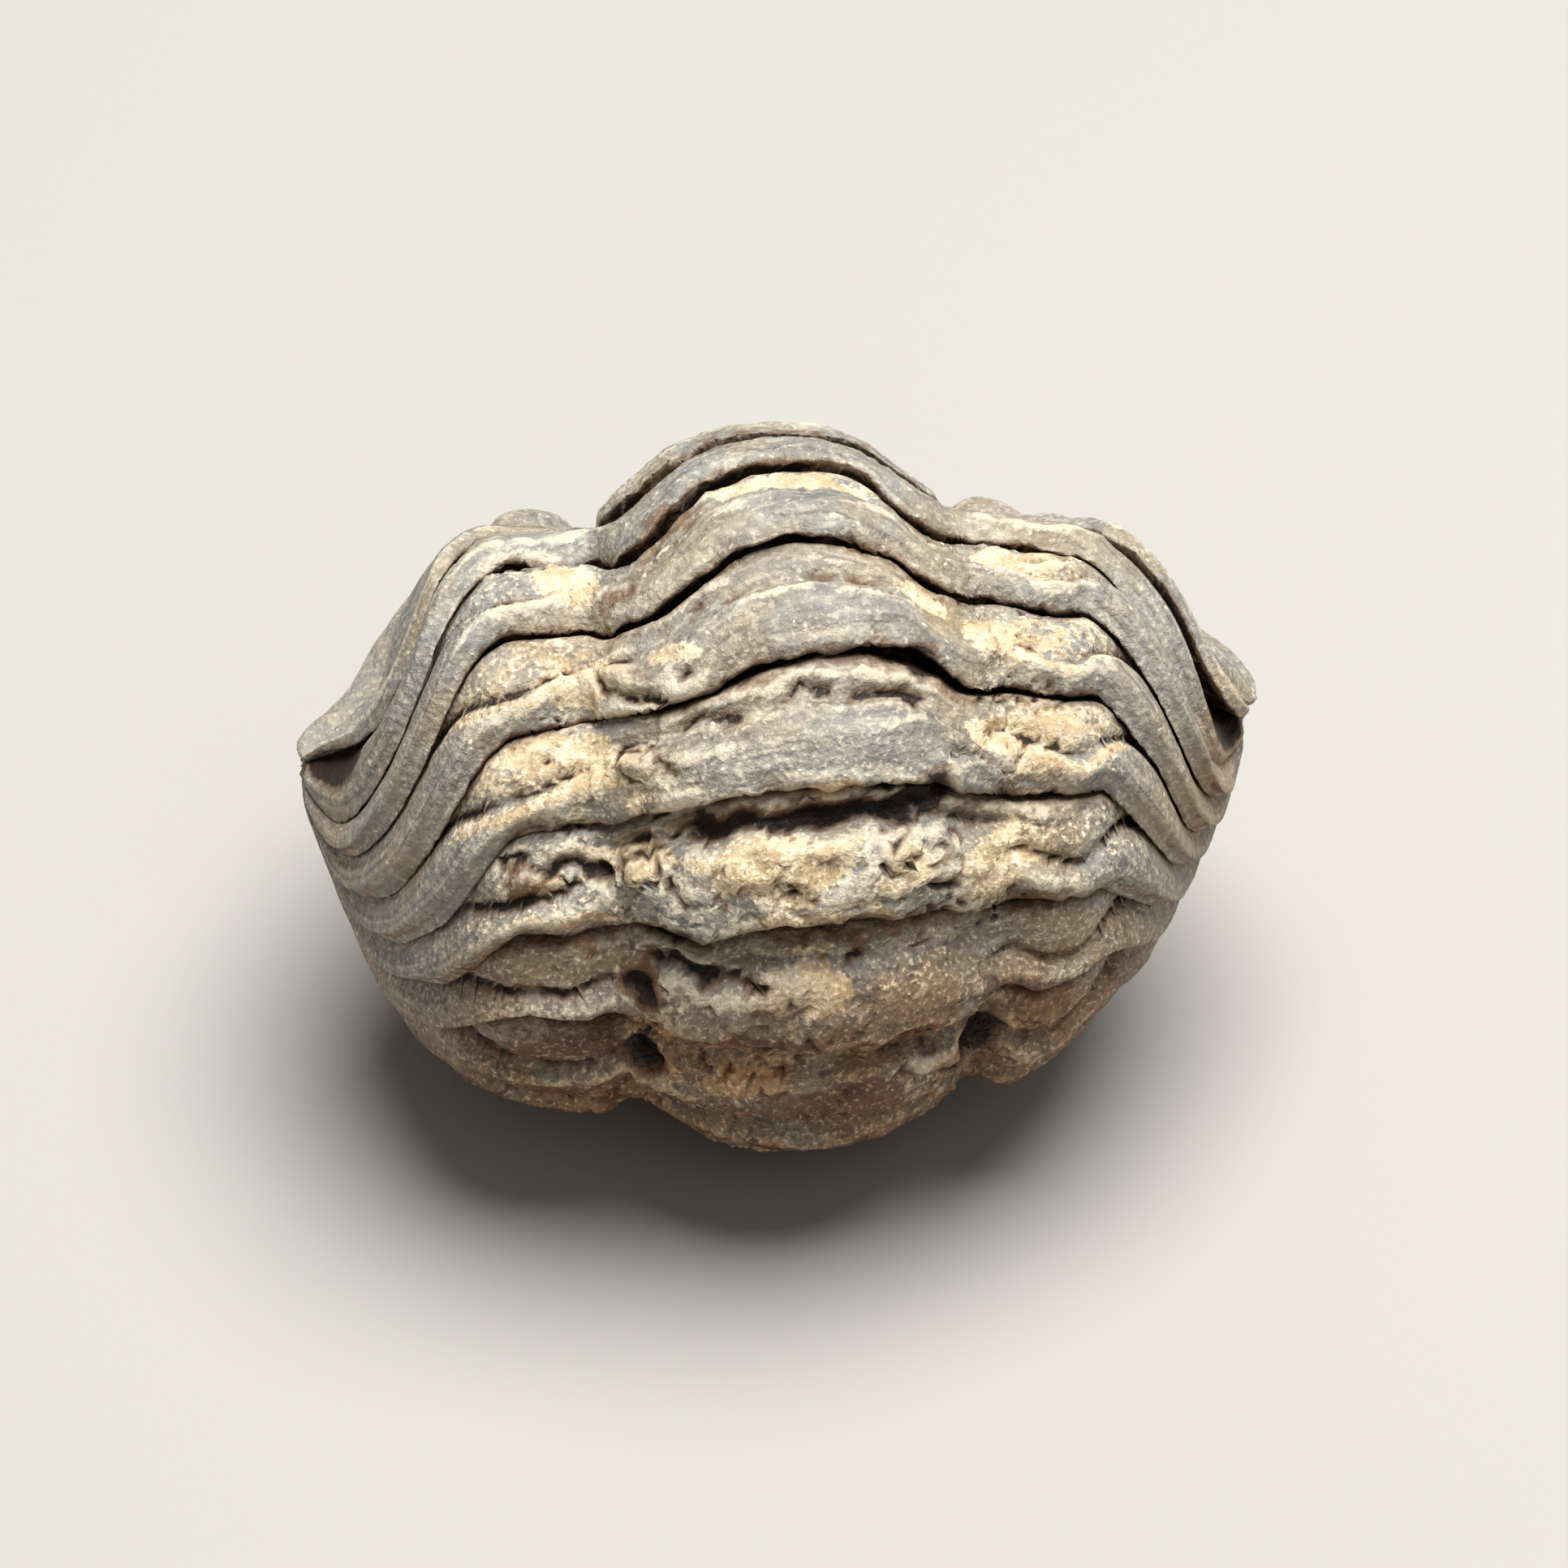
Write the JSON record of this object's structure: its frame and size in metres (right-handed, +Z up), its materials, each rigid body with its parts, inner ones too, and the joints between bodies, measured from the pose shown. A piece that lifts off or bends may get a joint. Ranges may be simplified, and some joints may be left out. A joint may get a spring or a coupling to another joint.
{
  "type": "trilobite fossil",
  "caption": "Trilobite rolled into a ball and turned to stone: ribbed thorax round the front, head shield over the top and back, tail shield folded beneath.",
  "frame": {"origin": "middle of the bounding box's underside, where the coil rests on its lowest rings", "axes": "+X across the animal towards its right pleural tips, the long way; +Y from the bent back of the thorax to the head shield; +Z up"},
  "size_m": [0.0136, 0.0106, 0.01],
  "materials": {
    "limestone": "matte"
  },
  "bodies": {
    "root": {"trilobite": "limestone"}
  },
  "joints": []
}
